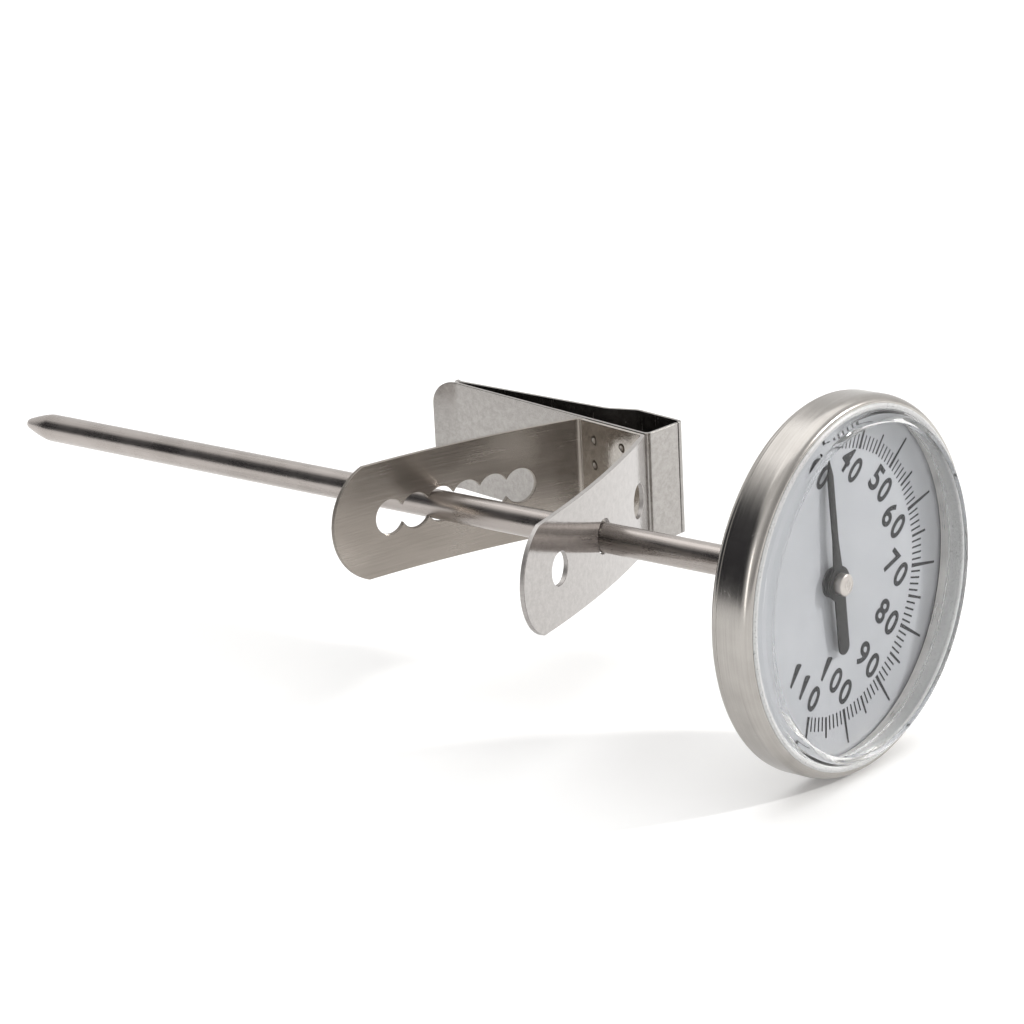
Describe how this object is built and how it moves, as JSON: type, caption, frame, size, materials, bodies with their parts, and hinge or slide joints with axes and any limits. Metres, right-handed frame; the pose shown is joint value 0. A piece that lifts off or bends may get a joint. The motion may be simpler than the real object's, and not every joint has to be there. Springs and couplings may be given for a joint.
{
  "type": "dial thermometer",
  "caption": "Stem dial thermometer with a round bimetal dial head and a folded steel clip that hangs it on a jug or pot wall",
  "frame": {"origin": "middle of the clip plate's gripping face, the flat face a jug wall is pressed against", "axes": "+X along the stem from its tip to the dial, which faces +X; +Z along the width of the clip's strips; +Y from the stem towards the jug clip"},
  "size_m": [0.1434, 0.0516, 0.046],
  "materials": {
    "steel": "brushed stainless steel",
    "satin": "satin stainless spring strip",
    "spring": "hardened spring steel",
    "bright": "bright turned aluminium",
    "crystal": "clear moulded crystal",
    "gasket": "white silicone",
    "dial": "pale enamel on dished aluminium",
    "pointer": "dark lacquer",
    "wire": "drawn wire",
    "brass": "turned brass",
    "bimetal": "rolled bimetal",
    "nylon": "black nylon"
  },
  "bodies": {
    "clip": {"bracket_base": "steel", "jug_plate": "satin", "spot_weld_1": "steel", "spot_weld_2": "steel", "spot_weld_3": "steel", "spot_weld_4": "steel", "spot_weld_5": "steel", "spot_weld_6": "steel", "spot_weld_7": "steel", "spot_weld_8": "steel"},
    "stem": {"stem_tube": "steel", "stem_tip": "steel", "stem_flange": "steel", "spring_washer": "spring", "calibration_nut": "steel", "upper_bearing": "nylon", "lower_guide": "nylon", "bimetal_coil": "bimetal", "coil_anchor": "brass"},
    "head": {"case_back": "steel", "bezel_ring": "steel", "lens": "crystal", "lens_gasket": "gasket", "dial_spacer_ring": "bright", "dial_plate": "dial"},
    "needle": {"pointer": "pointer", "pointer_cap": "bright", "pointer_shaft": "wire", "coil_collar": "brass"},
    "rear_leg": {"rear_leg": "steel"},
    "front_leg": {"front_leg": "steel"},
    "leaf": {"jug_spring_leaf": "satin"}
  },
  "joints": [
    {"name": "stem_slide", "type": "slide", "parent": "clip", "child": "stem", "axis": [1, 0, 0], "range_m": [-0.022, 0.068]},
    {"name": "calibration_turn", "type": "hinge", "parent": "stem", "child": "head", "pos_m": [0.06512, -0.02371, 0], "axis": [1, 0, 0], "range_deg": [-45, 45]},
    {"name": "pointer_turn", "type": "hinge", "parent": "stem", "child": "needle", "pos_m": [0.06722, -0.02371, 0], "axis": [1, 0, 0], "range_deg": [-208, 80], "stiffness_Nm_per_rad": 0.00002},
    {"name": "rear_leg_squeeze", "type": "hinge", "parent": "clip", "child": "rear_leg", "pos_m": [0.01293, -0.00433, 0], "axis": [0, 0, 1], "range_deg": [0, 3.5], "stiffness_Nm_per_rad": 0.8},
    {"name": "front_leg_squeeze", "type": "hinge", "parent": "clip", "child": "front_leg", "pos_m": [0.02406, -0.00635, 0], "axis": [0, 0, 1], "range_deg": [-3.5, 0], "stiffness_Nm_per_rad": 0.8},
    {"name": "leaf_flex", "type": "hinge", "parent": "clip", "child": "leaf", "pos_m": [0.02423, 0.00164, 0], "axis": [0, 0, 1], "range_deg": [-9, 0], "stiffness_Nm_per_rad": 0.6}
  ],
  "couplings": [
    {"joint": "front_leg_squeeze", "follows": "rear_leg_squeeze", "ratio": -1}
  ]
}
